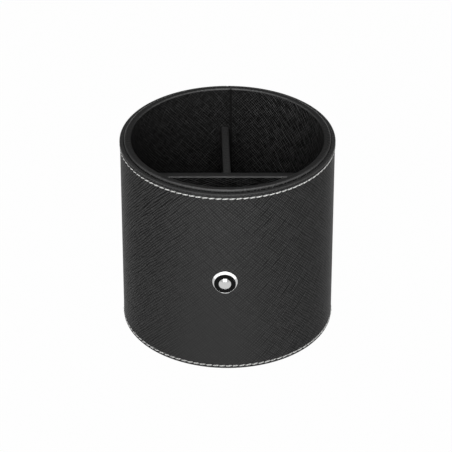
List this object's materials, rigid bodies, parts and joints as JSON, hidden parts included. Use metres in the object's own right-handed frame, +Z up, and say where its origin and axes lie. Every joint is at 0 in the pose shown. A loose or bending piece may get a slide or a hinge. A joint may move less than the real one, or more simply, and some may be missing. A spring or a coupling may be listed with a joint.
{
  "type": "pen holder",
  "caption": "Round upright desk cup in black embossed leather with a topstitched wrap, lined rim, T-shaped divider and a small round badge on the front.",
  "frame": {"origin": "middle of the base, on the surface that the cup stands on", "axes": "+Z up along the cup's axis, -Y towards the badge on the front, +X to the viewer's right"},
  "size_m": [0.1006, 0.1029, 0.097],
  "materials": {
    "embossed_leather": "satin",
    "greyboard": "matte",
    "thread": "matte",
    "base_felt": "matte",
    "badge_metal": "polished",
    "badge_inlay": "gloss",
    "steel": "satin"
  },
  "bodies": {
    "root": {"outer_leather": "embossed_leather", "lining_leather": "embossed_leather", "cross_divider_leather": "embossed_leather", "rear_divider_leather": "embossed_leather", "front_floor_pad": "embossed_leather", "left_floor_pad": "embossed_leather", "right_floor_pad": "embossed_leather", "wrap_board": "greyboard", "inner_tube": "greyboard", "base_board": "greyboard", "cross_divider_board": "greyboard", "rear_divider_board": "greyboard", "top_stitching": "thread", "bottom_stitching": "thread", "base_pad": "base_felt", "emblem_bezel": "badge_metal", "emblem_rivet": "badge_metal", "emblem_washer": "steel", "emblem_inlay": "badge_inlay"}
  },
  "joints": []
}
